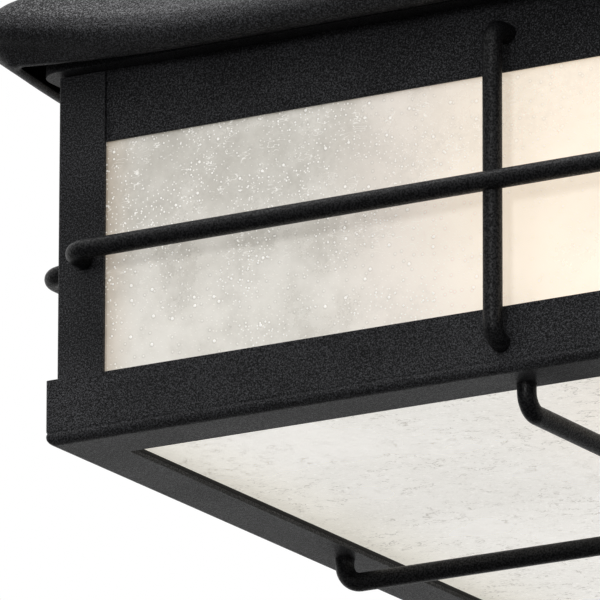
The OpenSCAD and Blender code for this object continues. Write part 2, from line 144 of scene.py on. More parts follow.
class StageSettings(bpy.types.PropertyGroup):
    key: FloatProperty(
        name="Key light", description="Power of the main studio light",
        subtype="POWER", unit="POWER", min=0, max=500, default=50)
    floor: FloatProperty(
        name="Floor height", description="Height of the studio floor",
        subtype="DISTANCE", unit="LENGTH", min=-5, max=0, default=-0.95)


# shader maths

class Sock:
    """An output socket whose operators add Math nodes to its tree."""

    def __init__(self, graph, socket):
        self.graph = graph
        self.socket = socket

    def _math(self, operation, a, b=0.0):
        return self.graph.add("ShaderNodeMath", {"operation": operation}, {0: a, 1: b})

    def __add__(self, other):
        return self._math("ADD", self, other)

    def __radd__(self, other):
        return self._math("ADD", other, self)

    def __sub__(self, other):
        return self._math("SUBTRACT", self, other)

    def __rsub__(self, other):
        return self._math("SUBTRACT", other, self)

    def __mul__(self, other):
        return self._math("MULTIPLY", self, other)

    def __rmul__(self, other):
        return self._math("MULTIPLY", other, self)

    def over(self, level):
        """1 where the value is over level."""
        return self._math("GREATER_THAN", self, level)

    def clamp(self):
        return self.graph.add("ShaderNodeClamp", {}, {0: self})

    def size(self):
        """The value without its sign."""
        return self._math("ABSOLUTE", self)

    def least(self, other):
        return self._math("MINIMUM", self, other)

    def step(self, a, b):
        """Smooth step from 0 at a to 1 at b."""
        return self.graph.add(
            "ShaderNodeMapRange", {"interpolation_type": "SMOOTHSTEP"},
            {0: self, 1: a, 2: b, 3: 0.0, 4: 1.0})


class Graph:
    """The node tree of one material or world."""

    def __init__(self, owner):
        owner.use_nodes = True
        self.owner = owner
        self.tree = owner.node_tree
        self.tree.nodes.clear()

    def add(self, kind, settings=None, inputs=None, out=0):
        """Adds a node, sets its settings and then its inputs, and returns one output."""
        node = self.tree.nodes.new(kind)
        for key, value in (settings or {}).items():
            setattr(node, key, value)
        for key, value in (inputs or {}).items():
            if isinstance(value, Sock):
                self.tree.links.new(value.socket, node.inputs[key])
            else:
                node.inputs[key].default_value = value
        return Sock(self, node.outputs[out]) if len(node.outputs) else None

    def place(self):
        return self.add("ShaderNodeTexCoord", out="Object")

    def axis(self, letter):
        """One axis of the object's own coordinates."""
        split = self.tree.nodes.new("ShaderNodeSeparateXYZ")
        self.tree.links.new(self.place().socket, split.inputs[0])
        return Sock(self, split.outputs[letter])

    def away(self, point):
        """Distance from a point in the object's own coordinates."""
        return self.add(
            "ShaderNodeVectorMath", {"operation": "DISTANCE"}, {0: self.place(), 1: point}, "Value")

    def along(self, where, direction):
        """How far a place lies along a direction."""
        return self.add(
            "ShaderNodeVectorMath", {"operation": "DOT_PRODUCT"}, {0: where, 1: direction}, "Value")

    def worms(self, where, size, width):
        """Thin wandering lines: the contours of a noise."""
        return (self.noise(where, size, 1.5) - 0.5).size().step(width, width * 0.25)

    def dots(self, where, size, radius, keep):
        """Round seeds about size metres apart on a flat pane, of which the share keep is shown."""
        near = self.cells(where, size)
        chance = self.add("ShaderNodeSeparateColor", {}, {"Color": self.cells(where, size, "Color")})
        return near.step(radius, radius * 0.5) * chance.over(1.0 - keep)

    def flat(self, across, up):
        """A place on a flat pane."""
        return self.add("ShaderNodeCombineXYZ", {}, {0: across, 1: up})

    def stretched(self, scale):
        """The object's own coordinates, scaled along each axis."""
        return self.add(
            "ShaderNodeVectorMath", {"operation": "MULTIPLY"}, {0: self.place(), 1: scale})

    def noise(self, where, size, detail=2.0, rough=0.5):
        """Noise whose features are about size metres wide."""
        return self.add("ShaderNodeTexNoise", {}, {
            "Vector": where, "Scale": 1.0 / size, "Detail": detail, "Roughness": rough})

    def cells(self, where, size, out="Distance"):
        """Voronoi cells about size metres apart."""
        return self.add("ShaderNodeTexVoronoi", {"feature": "F1", "voronoi_dimensions": "2D"}, {
            "Vector": where, "Scale": 1.0 / size}, out)

    def tint(self, share, a, b):
        """Colour a at share 0, b at share 1."""
        pair = [c if isinstance(c, Sock) else (*c, 1.0) for c in (a, b)]
        return self.add("ShaderNodeMix", {"data_type": "RGBA"}, {0: share, 6: pair[0], 7: pair[1]}, 2)

    def relief(self, height, depth, strength):
        """A bumped normal: height 1 stands for depth metres."""
        return self.add("ShaderNodeBump", {}, {
            "Strength": strength, "Distance": depth, "Height": height})

    def surface(self, inputs):
        return self.add("ShaderNodeBsdfPrincipled", {}, inputs, "BSDF")

    def finish(self, shader):
        self.add("ShaderNodeOutputMaterial", {}, {"Surface": shader})
        return self.owner


def shade(colour, factor):
    return tuple(min(1.0, c * factor) for c in colour)


def graph(name):
    return Graph(bpy.data.materials.new(name))


# finishes

def powder_coat(settings):
    """Black powder coat with a fine raised grain."""
    g = graph("black_powder_coat")
    p = g.place()
    grain = g.noise(p, settings.grain, 2.0, 0.6).step(0.34, 0.7)
    fine = g.noise(p, settings.grain * 0.45, 1.0).step(0.3, 0.7)
    drift = g.noise(p, 0.03, 2.0)
    share = (grain * 0.55 + fine * 0.45 + drift * 0.3 - 0.15).clamp()
    colour = g.tint(share.step(0.2, 0.8), shade(settings.colour, 0.25), shade(settings.colour, 2.0))
    # The lightest grain peaks are tinted up as painted glints: highlights on the grain's bumps, painted into
    # the colour.
    painted_glint = share.step(0.62, 0.85)
    colour = g.tint(painted_glint * 0.6, colour, shade(settings.colour, 4.2))
    return g.finish(g.surface({
        "Base Color": colour,
        "Roughness": (settings.roughness - 0.08 + grain * 0.16).clamp(),
        "Specular IOR Level": 0.1,
        "Coat Weight": share.step(0.3, 0.8) * 0.45,
        "Coat Roughness": 0.42,
        "Normal": g.relief(grain * 0.6 + fine * 0.4, 0.00024, 1.0)}))


def rod_coat(settings):
    """The smoother coat on the round bars, coloured darker than the powder coat as painted shade."""
    g = graph("black_rod_coat")
    p = g.place()
    grain = g.noise(p, settings.grain, 2.0)
    drift = g.noise(p, 0.03, 2.0)
    share = drift * 0.3 + grain.step(0.35, 0.65) * 0.7
    # Darker than the powder coat: painted shade on the round bars.
    colour = g.tint(share, shade(settings.colour, 0.1), shade(settings.colour, 0.7))
    return g.finish(g.surface({
        "Base Color": colour,
        "Roughness": 0.38 + grain * 0.14,
        "Specular IOR Level": 0.08,
        "Coat Weight": grain.step(0.4, 0.65) * 0.4,
        "Coat Roughness": 0.36,
        "Normal": g.relief(grain, 0.0002, 0.8)}))


def seeded_glass(settings, lamps, name, glow_at):
    """Seeded glass of a side, with the light from behind painted in as emission: grey clouds, seeds and
    white squiggles.
    """
    g = graph(name)
    p = g.place()
    up = g.axis("Z")
    flat = g.flat(g.axis("X") + g.axis("Y"), up)
    cloud = g.noise(p, 0.013, 5.0, 0.66)
    broad = g.noise(p, 0.05, 1.0)
    high_up = up.step(-0.1, -0.062)
    grey = (cloud * 0.5 + broad * 0.5 + 0.06 - high_up * 0.12).step(0.34, 0.62)
    mottle = g.noise(p, 0.0014, 4.0, 0.7).step(0.32, 0.7)
    end = g.axis("X").size().least(g.axis("Y").size()).step(0.108, 0.1245)
    glow = g.away(glow_at).step(0.135, 0.03)
    dense = (g.noise(p, 0.012, 2.0) + high_up * 0.12 - 0.04).step(0.42, 0.6)
    small = g.dots(flat, settings.seed, 0.17, 0.75)
    middling = g.dots(flat, settings.seed * 1.9, 0.13, 0.5)
    large = g.dots(flat, settings.seed * 4.2, 0.08, 0.3)
    ring = g.dots(flat, settings.seed * 1.9, 0.24, 0.5) - middling
    ring = ring + g.dots(flat, settings.seed * 4.2, 0.14, 0.3) - large
    patches = g.noise(p, 0.0045, 1.0).step(0.58, 0.64)
    squiggle = g.worms(g.stretched((0.7, 0.7, 2.0)), 0.0022, 0.032) * patches * high_up
    seeds = small * (0.15 + dense * 0.75) + middling * (0.35 + dense * 0.65)
    seeds = (seeds + large + squiggle * 0.7).clamp() * (1 - glow * 0.8)
    ring = (ring * 0.6 + (1 - mottle) * dense * 0.35).clamp()
    base = g.tint(grey, shade(settings.tint, 0.94), shade(settings.tint, 1.04))
    # Browner towards the side edges.
    base = g.tint(end * 0.5, base, (0.52, 0.43, 0.33))
    base = g.tint(seeds * 0.6, base, (0.80, 0.79, 0.77))
    # Painted light: the emission stands in for the lamps' light coming through the pane, with a painted pool
    # of glow round glow_at, painted shade towards the side edges, dark painted outlines round the seeds and
    # bright painted glints on them.
    light = g.tint(grey, (0.190, 0.176, 0.148), (0.345, 0.330, 0.302))
    light = g.tint(mottle * 0.18, light, (0.40, 0.39, 0.37))
    light = g.tint(end * 0.75, light, (0.20, 0.150, 0.100))
    light = g.tint(glow.step(0.0, 0.35) * 0.7, light, (0.42, 0.365, 0.32))
    light = g.tint(glow.step(0.25, 0.95), light, shade(lamps.warmth, 0.6))
    light = g.tint(ring * (0.75 - glow * 0.5), light, (0.09, 0.08, 0.065))
    light = g.tint(seeds * 0.75, light, (0.60, 0.59, 0.56))
    return g.finish(g.surface({
        "Base Color": base,
        "Roughness": 0.22 + grey * 0.12,
        "Transmission Weight": 0.12,
        "IOR": 1.47,
        "Emission Color": light,
        "Emission Strength": 1.0,
        "Normal": g.relief(seeds + cloud * 0.5, 0.0003, 0.5)}))


def bottom_glass(settings, lamps):
    """Seeded glass of the bottom, with the lamps' light from above painted in as emission, and fine grey
    squiggles.
    """
    g = graph("seeded_bottom_glass")
    p = g.place()
    flat = g.flat(g.axis("X"), g.axis("Y"))
    cloud = g.noise(p, 0.05, 3.0, 0.5).step(0.36, 0.64)
    flake = g.noise(g.stretched((1, 1.4, 1)), 0.0016, 4.0, 0.7).step(0.36, 0.66)
    sparse = g.noise(p, 0.012, 2.0).step(0.42, 0.58)
    patches = g.noise(p, 0.004, 2.0).step(0.44, 0.6)
    lines = g.worms(g.stretched((1, 1.6, 1)), 0.0022, 0.05) * patches * (0.3 + sparse * 0.7)
    glints = g.dots(flat, settings.seed * 1.6, 0.18, 0.4)
    end = g.axis("X").size().step(0.72 * GLASS_HALF, 0.96 * GLASS_HALF)
    base = g.tint(cloud, shade(settings.tint, 1.04), shade(settings.tint, 1.12))
    base = g.tint(lines * 0.6, base, (0.30, 0.29, 0.26))
    # Painted light: the emission stands in for the lamps' light coming through the pane, cream towards the
    # side edges, with a painted pool of glow round BOTTOM_GLOW and bright painted glints.
    light = g.tint(cloud, (0.50, 0.485, 0.455), (0.55, 0.535, 0.51))
    light = g.tint(flake * 0.25, light, (0.66, 0.65, 0.63))
    light = g.tint(end * 0.5, light, (0.56, 0.53, 0.45))
    glow = g.away(BOTTOM_GLOW).step(0.11, 0.02)
    light = g.tint(glow * 0.5, light, shade(lamps.warmth, 0.7))
    light = g.tint(lines * 0.75, light, (0.27, 0.25, 0.22))
    light = g.tint(glints * 0.4, light, (0.75, 0.74, 0.72))
    return g.finish(g.surface({
        "Base Color": base,
        "Roughness": 0.22 + cloud * 0.1,
        "Transmission Weight": 0.1,
        "IOR": 1.47,
        "Emission Color": light,
        "Emission Strength": 1.0,
        "Normal": g.relief(flake + lines * 0.5, 0.0002, 0.4)}))


def lit_bulb(lamps):
    """Frosted bulb, lit from inside."""
    g = graph("lit_frosted_glass")
    p = g.place()
    frost = g.noise(p, 0.002, 3.0)
    colour = g.tint(frost, (0.86, 0.80, 0.70), (0.97, 0.93, 0.86))
    light = g.tint(frost, shade(lamps.warmth, 0.92), lamps.warmth)
    return g.finish(g.surface({
        "Base Color": colour,
        "Roughness": 0.3 + frost * 0.2,
        "Emission Color": light,
        "Emission Strength": lamps.strength,
        "Normal": g.relief(frost, 0.00005, 0.3)}))


def plated(name, colour, rough, size=0.0009):
    """Plated or bare metal with drawn streaks and dull clouds."""
    g = graph(name)
    streak = g.noise(g.stretched((1, 1, 7)), size, 3.0)
    cloud = g.noise(g.place(), 0.012, 3.0)
    return g.finish(g.surface({
        "Base Color": g.tint((streak * 0.5 + cloud * 0.5).clamp(), shade(colour, 0.75), shade(colour, 1.12)),
        "Metallic": 1.0,
        "Roughness": (rough - 0.12 + cloud * 0.24).clamp(),
        "Normal": g.relief(streak, 0.00004, 0.35)}))


def smooth_solid(name, colour, rough, coat, size=0.003):
    """Enamel, porcelain, plastic or rubber with slight mottling."""
    g = graph(name)
    mottle = g.noise(g.place(), size, 3.0)
    broad = g.noise(g.place(), 0.03, 2.0)
    return g.finish(g.surface({
        "Base Color": g.tint((mottle * 0.4 + broad * 0.6).clamp(), shade(colour, 0.86), shade(colour, 1.08)),
        "Roughness": (rough - 0.06 + mottle * 0.12).clamp(),
        "Coat Weight": coat,
        "Normal": g.relief(mottle, 0.00005, 0.3)}))


def glass_wool():
    """Matted insulation with tangled fibres."""
    g = graph("glass_wool")
    p = g.place()
    tangle = g.noise(p, 0.0016, 4.0, 0.7)
    cross = g.noise(g.stretched((1, 6, 1)), 0.004, 3.0, 0.7)
    fibre = (tangle * 0.5 + cross * 0.5).clamp()
    return g.finish(g.surface({
        "Base Color": g.tint(fibre, (0.55, 0.46, 0.24), (0.92, 0.86, 0.62)),
        "Roughness": 0.9,
        "Normal": g.relief(fibre, 0.0006, 0.8)}))


FINISH = {}


def make_finishes(scene):
    coat = scene.lantern_coat
    glass = scene.lantern_glass
    lamps = scene.lantern_lamps
    FINISH.update({
        "black_powder_coat": powder_coat(coat),
        "rod": rod_coat(coat),
        "bottom_glass": bottom_glass(glass, lamps),
        "frosted_glass": lit_bulb(lamps),
        "zinc_steel": plated("zinc_steel", (0.56, 0.565, 0.58), 0.36),
        "nickel_plate": plated("nickel_plate", (0.70, 0.68, 0.64), 0.2, 0.0005),
        "brass": plated("pressed_brass", (0.74, 0.54, 0.24), 0.3),
        "green_screw": smooth_solid("green_lacquer", (0.05, 0.26, 0.09), 0.35, 0.3),
        "white_enamel": smooth_solid("white_enamel", (0.80, 0.80, 0.77), 0.25, 0.4, 0.006),
        "porcelain": smooth_solid("glazed_porcelain", (0.80, 0.79, 0.75), 0.18, 0.6, 0.008),
        "black_rubber": smooth_solid("black_rubber", (0.006, 0.006, 0.006), 0.8, 0.0, 0.0012),
        "connector_plastic": smooth_solid("orange_plastic", (0.72, 0.30, 0.04), 0.4, 0.1, 0.002),
        "insulation": glass_wool(),
    })
    for side, turn in SIDES.items():
        at = Matrix.Rotation(math.radians(turn), 3, "Z") @ Vector(SIDE_GLOW)
        FINISH["side_glass_" + side] = seeded_glass(glass, lamps, "seeded_glass_" + side, tuple(at))
    slots = {s["node"]: s["material_slot"] for s in frame["record"]["subparts"]}
    for name, node in frame["nodes"].items():
        node.data.materials.clear()
        node.data.materials.append(FINISH.get(name) or FINISH[slots[name]])


# modelling

def fresh():
    """Leaves nothing selected."""
    if bpy.context.mode != "OBJECT":
        bpy.ops.object.mode_set(mode="OBJECT")
    bpy.ops.object.select_all(action="DESELECT")


def only(obj):
    """Leaves obj alone selected and active."""
    fresh()
    obj.select_set(True)
    bpy.context.view_layer.objects.active = obj


def baked_place(obj):
    bpy.ops.object.transform_apply(location=True, rotation=True, scale=True)
    return obj


def edit(kind="VERT"):
    bpy.ops.object.mode_set(mode="EDIT")
    bpy.ops.mesh.select_mode(type=kind)


def pick(kind, test):
    """Selects the faces, edges or verts of the edited mesh that pass test."""
    obj = bpy.context.object
    bm = bmesh.from_edit_mesh(obj.data)
    bpy.ops.mesh.select_all(action="DESELECT")
    for part in getattr(bm, kind):
        if test(part):
            part.select_set(True)
    bm.select_flush_mode()
    bmesh.update_edit_mesh(obj.data)


def middle(part):
    return sum((v.co for v in part.verts), Vector()) / len(part.verts)


def modify(obj, kind, **settings):
    """Adds a modifier with these settings and applies it."""
    bpy.ops.object.modifier_add(type=kind)
    modifier = obj.modifiers[-1]
    for key, value in settings.items():
        setattr(modifier, key, value)
    bpy.ops.object.modifier_apply(modifier=modifier.name)


def hand_over(obj, name, body, finish, nodes, angle):
    """Names, smooths and finishes a piece, and puts it in place of its nodes."""
    if bpy.context.mode != "OBJECT":
        bpy.ops.object.mode_set(mode="OBJECT")
    baked_place(obj)
    obj.name = obj.data.name = name
    bpy.ops.object.shade_smooth_by_angle(angle=math.radians(angle))
    modify(obj, "WEIGHTED_NORMAL", weight=80, keep_sharp=True)
    obj.data.materials.clear()
    obj.data.materials.append(FINISH[finish])
    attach(obj, body)
    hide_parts(*nodes)
    return obj


def copied(obj, move, name, body, node):
    """A copy of obj with its own mesh, moved by a matrix, in place of a black coated node."""
    mesh = obj.data.copy()
    mesh.transform(move)
    mesh.name = name
    copy = bpy.data.objects.new(name, mesh)
    bpy.context.scene.collection.objects.link(copy)
    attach(copy, body)
    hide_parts(node)


def start_ring(radius, at, turn, sides=32):
    """Opens edit mode on a ring of edges, all selected."""
    fresh()
    bpy.ops.mesh.primitive_circle_add(
        vertices=sides, radius=radius, fill_type="NOTHING", location=at, rotation=turn)
    baked_place(bpy.context.object)
    edit()
    bpy.ops.mesh.select_all(action="SELECT")
    return bpy.context.object


def draw_out(step, scale):
    """Extrudes the selected flat ring by step, and scales its new end."""
    bpy.ops.mesh.extrude_region_move(TRANSFORM_OT_translate={"value": step})
    if scale != 1.0:
        bpy.ops.transform.resize(value=(scale, scale, scale))


def draw_rings(profile):
    """Draws the selected ring out through (half width, height) rings, from the first."""
    was, height = profile[0]
    for half, tall in profile[1:]:
        draw_out((0, 0, tall - height), half / was)
        was, height = half, tall


def bend_round(centre, axis, degrees, steps):
    """Spins the selected ring about an axis."""
    bpy.ops.mesh.spin(steps=steps, angle=-math.radians(degrees), center=centre, axis=axis)


def close_up():
    """Merges doubles, fills the open ends and turns the faces outwards."""
    bpy.ops.mesh.select_all(action="SELECT")
    bpy.ops.mesh.remove_doubles(threshold=1e-6)
    bpy.ops.mesh.fill_holes(sides=0)
    bpy.ops.mesh.select_all(action="SELECT")
    bpy.ops.mesh.normals_make_consistent(inside=False)
    bpy.ops.object.mode_set(mode="OBJECT")


def rings(profile, at, turn, sides=48):
    """A turned piece: (radius, height) rings from one end to the other."""
    radius, height = profile[0]
    obj = start_ring(radius, (0, 0, height), (0, 0, 0), sides)
    draw_rings(profile)
    close_up()
    about = Matrix.Rotation(turn[2], 4, "Z") @ Matrix.Rotation(turn[1], 4, "Y")
    obj.matrix_world = Matrix.Translation(at) @ about
    only(obj)
    return obj


def softened(node, width=0.0):
    """A copy of a CAD node with its doubles merged and its edges rounded, or all smooth."""
    source = frame["nodes"][node]
    obj = bpy.data.objects.new(node + "_soft", source.data.copy())
    bpy.context.scene.collection.objects.link(obj)
    only(obj)
    edit()
    bpy.ops.mesh.select_all(action="SELECT")
    bpy.ops.mesh.remove_doubles(threshold=2e-6)
    if width:
        bpy.ops.mesh.dissolve_limited(angle_limit=math.radians(1.0))
        bpy.ops.object.mode_set(mode="OBJECT")
        modify(obj, "BEVEL", width=width, segments=2, limit_method="ANGLE", angle_limit=math.radians(35))
    else:
        bpy.ops.object.mode_set(mode="OBJECT")
        modify(obj, "SUBSURF", levels=2, render_levels=2)
    slot = next(s["material_slot"] for s in frame["record"]["subparts"] if s["node"] == node)
    return hand_over(obj, node + "_part", source["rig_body"], slot, [node], 40)


# canopy and ceiling unit

class LANTERN_OT_canopy(bpy.types.Operator):
    """Presses the canopy: a rounded nose, a curled lip and corners that rise"""
    bl_idname = "lantern.canopy"
    bl_label = "Canopy"

    # how far the corners flare out and rise, the length along which they do, and its power
    FLARE, LIFT, REACH, EASE = 4.8 * MM, 6.8 * MM, 70 * MM, 2.4

    def execute(self, context):
        # all in millimetres
        wide = (high("canopy").x - self.FLARE) / MM
        above_neck = 2.8
        nose = low("neck_pan").z / MM + above_neck
        deck = low("canopy_deck").z / MM
        sheet = 1.2
        rim = 19.1
        ledge = 15
        nose_round = 7
        curl_reach, curl_drop = 4.1, 4.5
        # rings: inset from the side, height, shares of flare and lift, corner radius
        rows = [(rim, 0, 0, 0, 13), (rim - 0.2, -2.5, 0, 0, 13), (rim - 0.3, -4.6, 0.02, 0.02, 13),
                (17.4, -6.6, 0.22, 0.22, 13), (13.5, -10.04, 0.6, 0.6, 13),
                (10.6, -12.7, 0.78, 0.78, 12.8), (7.9, -15.07, 0.9, 0.9, 12.5),
                (4.9, -17.9, 0.97, 0.97, 12.2)]
        for angle in (48, 42, 34, 26, 18, 9):
            a = math.radians(angle)
            rows.append((nose_round * (1 - math.cos(a)), nose + nose_round * math.sin(a), 1, 1, 12))
        curl = ((1, 1), (0.95, 1), (0.8, 1), (0.6, 1), (0.4, 1), (0.2, 0.8), (0, 0.5))
        for i, (out, up) in enumerate(curl):
            a = math.radians(15 * i)
            rows.append((curl_reach * (1 - math.cos(a)), nose - curl_drop * math.sin(a),
                         out, up, 12 - 1.35 * i))
        rows += [(4.8, nose - 4.4, -0.1, 0.43, 3.4), (5.4, nose - 4.05, -0.17, 0.4, 3.1),
                 (5.75, nose - 3.45, -0.2, 0.39, 3.0), (5.6, nose - 2.9, -0.17, 0.4, 3.1),
                 (5.1, nose - 2.75, -0.1, 0.43, 3.4), (4.5, nose - 3.1, 0, 0.48, 3.8)]
        for i, (out, up) in enumerate(((0.2, 0.78), (0.45, 0.95), (0.7, 1), (0.9, 1))):
            a = math.radians(75 - 20 * i)
            rows.append((curl_reach - (curl_reach - sheet) * math.cos(a),
                         nose - (curl_drop - sheet) * math.sin(a), out, up, 5.2 + 1.7 * i))
        rows += [(1.3, nose + 1.2, 0.9, 0.95, 10.8), (1.9, nose + 3, 0.8, 0.85, 10.8),
                 (3.1, nose + 4.6, 0.7, 0.7, 10.8), (6.4, deck - sheet, 0, 0, 10.8),
                 (ledge, deck - sheet, 0, 0, 6), (ledge, deck, 0, 0, 6),
                 (7.9, deck, 0, 0, 11), (12.6, deck + 4.2, 0, 0, 11.4),
                 (rim + sheet, -6.4, 0, 0, 11.8), (rim + sheet, 0, 0, 0, 11.8)]
        profile = [((wide - inset) * MM, tall * MM, out, up, radius * MM)
                   for inset, tall, out, up, radius in rows]
        start = profile[0][0]
        rounding = 11 * MM
        fresh()
        bpy.ops.mesh.primitive_plane_add(size=2 * start, location=(0, 0, 0))
        canopy = bpy.context.object
        edit()
        bpy.ops.mesh.select_all(action="SELECT")
        bpy.ops.mesh.bevel(offset=rounding, segments=9, affect="VERTICES")
        pick("faces", lambda f: True)
        bpy.ops.mesh.delete(type="ONLY_FACE")
        # the four straight sides
        pick("edges", lambda e: e.calc_length() > start)
        bpy.ops.mesh.subdivide(number_cuts=26)
        bpy.ops.mesh.select_all(action="SELECT")
        draw_rings([ring[:2] for ring in profile])
        bpy.ops.object.mode_set(mode="OBJECT")
        self.sweep_corners(canopy.data.vertices, profile, 1 - rounding / start)
        edit()
        pick("edges", lambda e: e.is_boundary)
        bpy.ops.mesh.bridge_edge_loops()
        close_up()
        hand_over(canopy, "pressed_canopy", "ceiling_unit", "black_powder_coat",
                  ["canopy"], 50)
        return {"FINISHED"}

    @classmethod
    def sweep_corners(cls, vertices, profile, straight):
        """Gives each ring its own corner radius, and sweeps the corners up and out."""
        count = len(vertices) // len(profile)
        for i, v in enumerate(vertices):
            half, tall, out, up, radius = profile[i // count]
            u, w = abs(v.co.x) / half, abs(v.co.y) / half
            side = half - radius
            near = 1
            if min(u, w) > straight:
                a = math.atan2(u - straight, w - straight)
                x = side + out * cls.FLARE + radius * math.sin(a)
                y = side + out * cls.FLARE + radius * math.cos(a)
            else:
                along = min(u, w) / straight
                near = max(0, 1 - side * (1 - along) / cls.REACH) ** cls.EASE
                x, y = along * (side + near * out * cls.FLARE), half + near * out * cls.FLARE
                if u > w:
                    x, y = y, x
            v.co = (math.copysign(x, v.co.x), math.copysign(y, v.co.y), tall + near * up * cls.LIFT)


class LANTERN_OT_ceiling_unit(bpy.types.Operator):
    """Rounds the edges of the deck, neck, crossbar, brackets, holders and hinges"""
    bl_idname = "lantern.ceiling_unit"
    bl_label = "Ceiling unit"

    def execute(self, context):
        for node, width in {
                "mounting_crossbar": 0.35, "canopy_deck": 0.3, "neck_pan": 0.5,
                "reflector_plate": 0.15, "insulation_pad": 0.6, "lamp_bracket_front": 0.25,
                "lamp_bracket_rear": 0.25, "hinge_fixed_leaves": 0.2, "catch_tabs": 0.2,
                "wire_bushing": 0.3, "wire_connectors": 0.4, "cap_nuts": 0.3, "catch_nuts": 0.3,
                "ground_screw": 0.3, "reflector_screws": 0.3, "lampholder_front": 0.6,
                "lampholder_rear": 0.6, "hinge_pins": 0.3}.items():
            softened(node, width * MM)
        softened("lamp_leads")
        return {"FINISHED"}


# cage

def round_bar(start, turn, moves, radius, flare, steps):
    """A round bar drawn out and bent, with a weld flare at both ends."""
    wide = 1 + flare / radius
    obj = start_ring(radius * wide, start, turn)
    scales = {"weld": 1 / wide, "flare": wide, "go": 1.0}
    for kind, value in moves:
        if kind == "turn":
            centre, axis, degrees = value
            bend_round(centre, axis, degrees, steps)
        else:
            draw_out(value, scales[kind])
    close_up()
    return obj


class LANTERN_OT_bars(bpy.types.Operator):
    """Bends the round bars on the four sides and under the bottom glass"""
    bl_idname = "lantern.bars"
    bl_label = "Round bars"

    def execute(self, context):
        settings = context.scene.lantern_bars
        lo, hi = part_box("bar_horizontal_front")
        r = (hi.z - lo.z) / 2
        flare, steps = settings.flare, settings.steps
        weld = 0.8 * MM
        bend = 5.5 * MM
        x, y, z = hi.x - r, lo.y + r, (lo.z + hi.z) / 2
        back = -POST_FACE
        first = round_bar((-x, back, z), (math.pi / 2, 0, 0), [
            ("weld", (0, -weld, 0)),
            ("go", (0, y + bend - back + weld, 0)),
            ("turn", ((-x + bend, y + bend, z), (0, 0, 1), 90)),
            ("go", (2 * (x - bend), 0, 0)),
            ("turn", ((x - bend, y + bend, z), (0, 0, 1), 90)),
            ("go", (0, -(y + bend - back + weld), 0)),
            ("flare", (0, weld, 0))], r, flare, steps)
        hand_over(first, "round_bar_front", "cage", "rod", ["bar_horizontal_front"],
                  40)
        lo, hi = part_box("bar_vertical_front")
        y, low_z, high_z = lo.y + r, lo.z + r, hi.z - r
        bend = -HALF - y
        band = -BAND_FACE
        upright = round_bar((0, band, high_z), (math.pi / 2, 0, 0), [
            ("weld", (0, -weld, 0)),
            ("go", (0, y + bend - band + weld, 0)),
            ("turn", ((0, y + bend, high_z - bend), (1, 0, 0), 90)),
            ("go", (0, 0, low_z - high_z + 2 * bend)),
            ("turn", ((0, y + bend, low_z + bend), (1, 0, 0), 90)),
            ("flare", (0, weld * 0.5, 0))], r, flare, steps)
        hand_over(upright, "upright_bar_front", "cage", "rod", ["bar_vertical_front"],
                  40)
        for side, angle in SIDES.items():
            if angle:
                turn = Matrix.Rotation(math.radians(angle), 4, "Z")
                copied(first, turn, "round_bar_" + side, "cage", "bar_horizontal_" + side)
                copied(upright, turn, "upright_bar_" + side, "cage", "bar_vertical_" + side)
        self.lower_bar("bottom_bar_across", 0, flare, steps)
        self.lower_bar("bottom_bar_fore_aft", 90, flare, steps)
        return {"FINISHED"}

    @staticmethod
    def lower_bar(node, degrees, flare, steps):
        """A bar under the bottom glass, both ends turned up onto the flange."""
        lo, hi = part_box(node)
        bend = 5 * MM
        weld = 0.6 * MM
        r = (hi.y - lo.y if degrees == 0 else hi.x - lo.x) / 2
        end = (hi.x if degrees == 0 else hi.y) - r
        z = lo.z + r
        straight = BOTTOM - z - bend - weld
        bar = round_bar((-end, 0, BOTTOM), (0, 0, 0), [
            ("weld", (0, 0, -weld)),
            ("go", (0, 0, -straight)),
            ("turn", ((-end + bend, 0, z + bend), (0, 1, 0), -90)),
            ("go", (2 * (end - bend), 0, 0)),
            ("turn", ((end - bend, 0, z + bend), (0, 1, 0), -90)),
            ("go", (0, 0, straight)),
            ("flare", (0, 0, weld))], r, flare, steps)
        bar.data.transform(Matrix.Rotation(math.radians(degrees), 4, "Z"))
        hand_over(bar, node + "_bent", "cage", "rod", [node], 40)


